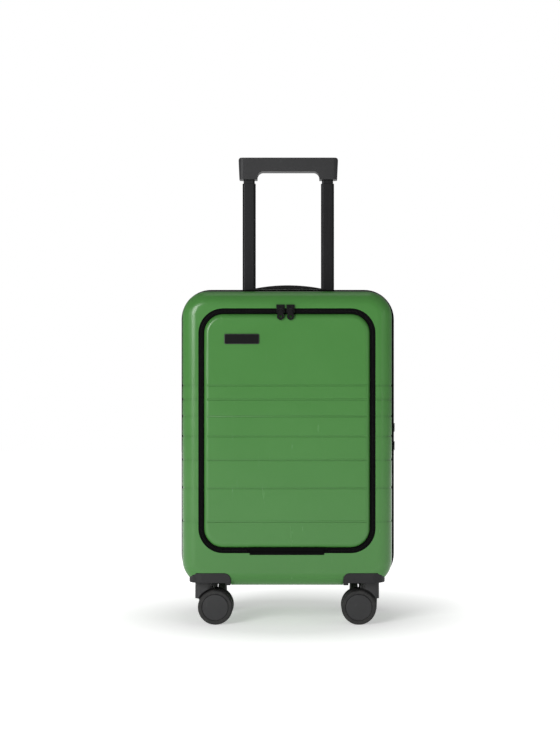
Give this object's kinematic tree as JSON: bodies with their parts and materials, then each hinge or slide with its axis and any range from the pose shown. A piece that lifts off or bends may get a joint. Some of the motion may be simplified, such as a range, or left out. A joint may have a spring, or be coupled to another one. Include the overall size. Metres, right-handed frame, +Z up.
{
  "type": "hard shell suitcase",
  "caption": "Upright hard shell cabin suitcase with a zipped front pocket door, telescoping trolley handle, carry handle and swivelling double-wheel casters.",
  "frame": {"origin": "bottom centre, on the floor under the middle of the case", "axes": "+Z up, front with the pocket door faces -Y, width along X"},
  "size_m": [0.3523, 0.2347, 0.7701],
  "materials": {
    "shell_plastic": "satin green moulded shell",
    "zip_black": "woven black tape",
    "lining_cloth": "grey lining cloth",
    "tube_metal": "dark anodised",
    "grey_plastic": "fine matte",
    "black_plastic": "satin black",
    "steel": "zinc plated",
    "zip_metal": "black enamel",
    "tyre_rubber": "matte rubber"
  },
  "bodies": {
    "rear_body": {"rear_shell": "shell_plastic", "rear_zip_tape": "zip_black", "rear_lining": "lining_cloth", "packing_straps": "zip_black", "trolley_outer_left": "tube_metal", "trolley_outer_right": "tube_metal", "trolley_cup": "grey_plastic", "trolley_bracket": "grey_plastic", "carry_handle_mounts": "grey_plastic", "back_rivets": "steel", "lock_case": "grey_plastic", "rear_left_housing": "grey_plastic", "rear_right_housing": "grey_plastic", "rear_swivel_pins": "steel"},
    "front_body": {"front_shell": "shell_plastic", "front_zip_tape": "zip_black", "front_lining": "lining_cloth", "divider_panel": "zip_black", "pocket_liner": "lining_cloth", "pocket_frame_tape": "zip_black", "hinge_strip": "zip_black", "front_left_housing": "grey_plastic", "front_right_housing": "grey_plastic", "front_swivel_pins": "steel"},
    "door": {"pocket_door": "shell_plastic", "pocket_door_tape": "zip_black", "badge_plate": "black_plastic"},
    "pocket_slider_left_body": {"pocket_slider_left": "zip_metal"},
    "pocket_slider_right_body": {"pocket_slider_right": "zip_metal"},
    "pocket_pull_left_body": {"pocket_pull_left": "zip_metal"},
    "pocket_pull_right_body": {"pocket_pull_right": "zip_metal"},
    "main_slider_upper_body": {"main_slider_upper": "steel"},
    "main_slider_lower_body": {"main_slider_lower": "steel"},
    "lock_button_body": {"lock_button": "steel"},
    "carry": {"carry_handle": "black_plastic"},
    "trolley_middle": {"middle_tube_left": "tube_metal", "middle_tube_right": "tube_metal"},
    "trolley_inner": {"inner_tube_left": "tube_metal", "inner_tube_right": "tube_metal", "grip_front": "grey_plastic", "grip_back": "grey_plastic", "grip_screws": "steel"},
    "button": {"grip_button": "black_plastic"},
    "front_left_swivel": {"front_left_fork": "grey_plastic"},
    "front_left_roller": {"front_left_axle": "steel", "front_left_wheels": "grey_plastic", "front_left_tyres": "tyre_rubber"},
    "front_right_swivel": {"front_right_fork": "grey_plastic"},
    "front_right_roller": {"front_right_axle": "steel", "front_right_wheels": "grey_plastic", "front_right_tyres": "tyre_rubber"},
    "rear_left_swivel": {"rear_left_fork": "grey_plastic"},
    "rear_left_roller": {"rear_left_axle": "steel", "rear_left_wheels": "grey_plastic", "rear_left_tyres": "tyre_rubber"},
    "rear_right_swivel": {"rear_right_fork": "grey_plastic"},
    "rear_right_roller": {"rear_right_axle": "steel", "rear_right_wheels": "grey_plastic", "rear_right_tyres": "tyre_rubber"}
  },
  "joints": [
    {"name": "case_opening", "type": "hinge", "parent": "rear_body", "child": "front_body", "pos_m": [-0.1755, 0, 0.2967], "axis": [0, 0, -1], "range_deg": [0, 180]},
    {"name": "pocket_opening", "type": "hinge", "parent": "front_body", "child": "door", "pos_m": [0, -0.113, 0.1177], "axis": [1, 0, 0], "range_deg": [0, 90]},
    {"name": "pocket_slider_left_travel", "type": "slide", "parent": "door", "child": "pocket_slider_left_body", "axis": [1, 0, 0], "range_m": [-0.08, 0]},
    {"name": "pocket_slider_right_travel", "type": "slide", "parent": "door", "child": "pocket_slider_right_body", "axis": [1, 0, 0], "range_m": [0, 0.08]},
    {"name": "pocket_pull_left_flip", "type": "hinge", "parent": "pocket_slider_left_body", "child": "pocket_pull_left_body", "pos_m": [-0.0101, -0.1186, 0.5024], "axis": [-1, 0, 0], "range_deg": [0, 150]},
    {"name": "pocket_pull_right_flip", "type": "hinge", "parent": "pocket_slider_right_body", "child": "pocket_pull_right_body", "pos_m": [0.0057, -0.1186, 0.5024], "axis": [-1, 0, 0], "range_deg": [0, 150]},
    {"name": "main_slider_upper_travel", "type": "slide", "parent": "rear_body", "child": "main_slider_upper_body", "axis": [0, 0, 1], "range_m": [0, 0.17]},
    {"name": "main_slider_lower_travel", "type": "slide", "parent": "rear_body", "child": "main_slider_lower_body", "axis": [0, 0, 1], "range_m": [-0.17, 0]},
    {"name": "lock_button_press", "type": "slide", "parent": "rear_body", "child": "lock_button_body", "axis": [0, 0, 1], "range_m": [0, 0.004], "stiffness_N_per_m": 300},
    {"name": "carry_handle_lift", "type": "slide", "parent": "rear_body", "child": "carry", "axis": [0, 0, 1], "range_m": [0, 0.014]},
    {"name": "trolley_middle_slide", "type": "slide", "parent": "rear_body", "child": "trolley_middle", "axis": [0, 0, 1], "range_m": [-0.2285, 0]},
    {"name": "trolley_inner_slide", "type": "slide", "parent": "trolley_middle", "child": "trolley_inner", "axis": [0, 0, 1], "range_m": [0, 0.225]},
    {"name": "grip_button_press", "type": "slide", "parent": "trolley_inner", "child": "button", "axis": [0, 0, -1], "range_m": [0, 0.0035], "stiffness_N_per_m": 400},
    {"name": "front_left_turn", "type": "hinge", "parent": "front_body", "child": "front_left_swivel", "pos_m": [-0.1336, -0.076, 0.0672], "axis": [0, 0, 1], "continuous": true},
    {"name": "front_left_roll", "type": "hinge", "parent": "front_left_swivel", "child": "front_left_roller", "pos_m": [-0.1142, -0.076, 0.02775], "axis": [0, 1, 0], "continuous": true},
    {"name": "front_right_turn", "type": "hinge", "parent": "front_body", "child": "front_right_swivel", "pos_m": [0.1336, -0.076, 0.0672], "axis": [0, 0, 1], "continuous": true},
    {"name": "front_right_roll", "type": "hinge", "parent": "front_right_swivel", "child": "front_right_roller", "pos_m": [0.1142, -0.076, 0.02775], "axis": [0, 1, 0], "continuous": true},
    {"name": "rear_left_turn", "type": "hinge", "parent": "rear_body", "child": "rear_left_swivel", "pos_m": [-0.127, 0.076, 0.0672], "axis": [0, 0, 1], "continuous": true},
    {"name": "rear_left_roll", "type": "hinge", "parent": "rear_left_swivel", "child": "rear_left_roller", "pos_m": [-0.127, 0.0566, 0.02775], "axis": [1, 0, 0], "continuous": true},
    {"name": "rear_right_turn", "type": "hinge", "parent": "rear_body", "child": "rear_right_swivel", "pos_m": [0.127, 0.076, 0.0672], "axis": [0, 0, 1], "continuous": true},
    {"name": "rear_right_roll", "type": "hinge", "parent": "rear_right_swivel", "child": "rear_right_roller", "pos_m": [0.127, 0.0566, 0.02775], "axis": [1, 0, 0], "continuous": true}
  ]
}
